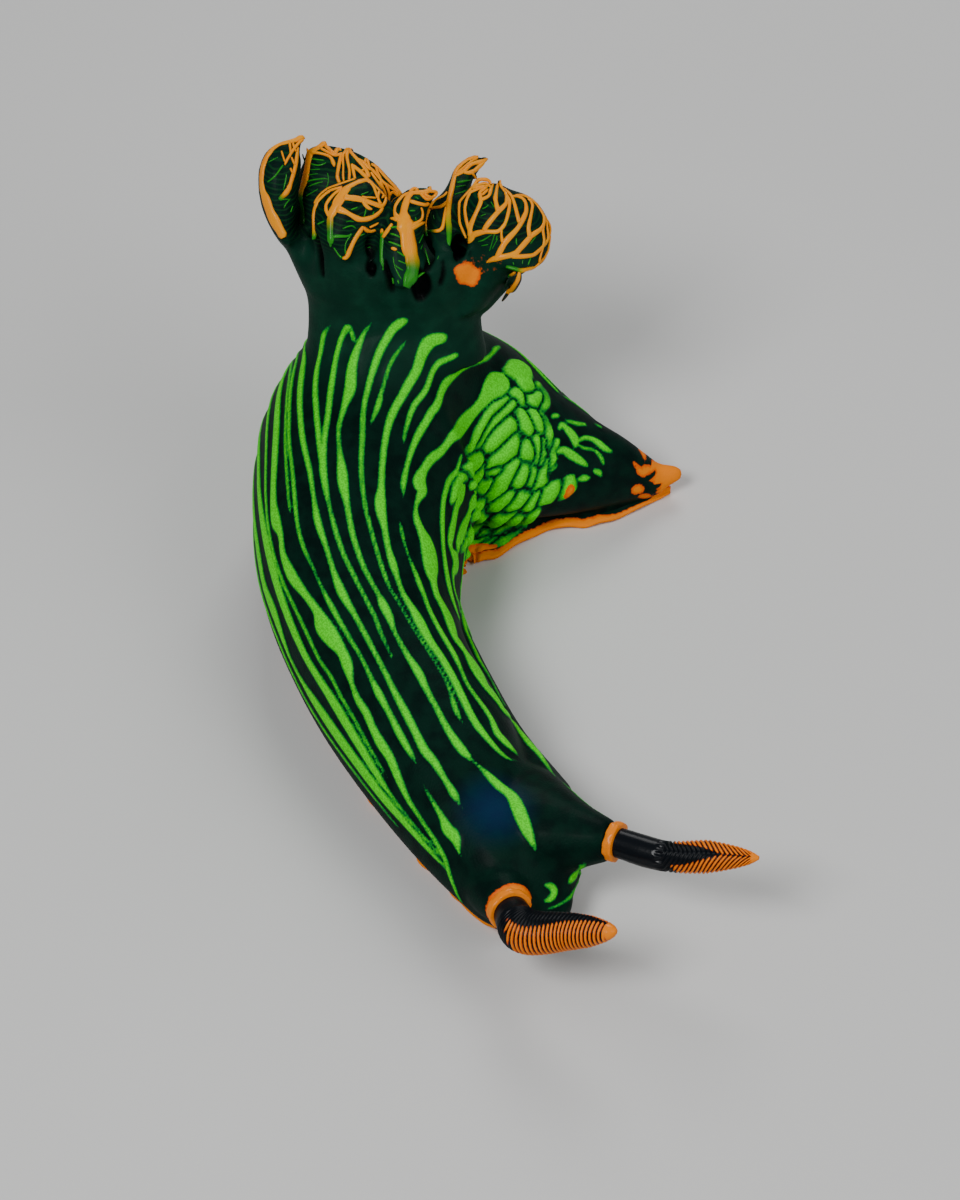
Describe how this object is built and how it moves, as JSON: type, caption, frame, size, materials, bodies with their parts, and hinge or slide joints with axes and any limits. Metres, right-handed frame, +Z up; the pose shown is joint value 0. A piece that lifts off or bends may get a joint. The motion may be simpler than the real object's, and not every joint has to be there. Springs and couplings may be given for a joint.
{
  "type": "variable neon slug",
  "caption": "Life-size sea slug lying bent on its foot, with two comb-like horns, striped back and a tuft of branching gill plumes.",
  "frame": {"origin": "on the flat sole, below the gill at the middle of the bend", "axes": "+Z up from the sole, -Y towards the head, +X towards the tail's tip"},
  "size_m": [0.0432, 0.0739, 0.0373],
  "materials": {
    "body_skin": "wet satin",
    "foot_rim": "wet satin",
    "horn_black": "wet satin",
    "horn_orange": "wet satin",
    "gill_dark": "wet satin",
    "gill_orange": "wet satin"
  },
  "bodies": {
    "root": {"head": "body_skin", "neck": "body_skin", "back_front": "body_skin", "back_middle": "body_skin", "hump": "body_skin", "tail_root": "body_skin", "tail_middle": "body_skin", "tail_tip": "body_skin", "foot_front": "foot_rim", "foot_middle": "foot_rim", "foot_bend": "foot_rim", "foot_tail": "foot_rim", "oral_tentacle_left": "body_skin", "oral_tentacle_right": "body_skin", "rhinophore_sheath_left": "horn_black", "rhinophore_sheath_right": "horn_black", "rhinophore_collar_left": "horn_orange", "rhinophore_collar_right": "horn_orange", "rhinophore_stalk_left": "horn_black", "rhinophore_stalk_right": "horn_black", "rhinophore_club_left": "horn_orange", "rhinophore_club_right": "horn_orange", "gill_base": "gill_dark", "gill_plume_1": "gill_orange", "gill_plume_2": "gill_orange", "gill_plume_3": "gill_orange", "gill_plume_4": "gill_orange", "gill_plume_5": "gill_orange", "gill_plume_6": "gill_orange", "anal_papilla": "gill_dark"}
  },
  "joints": []
}
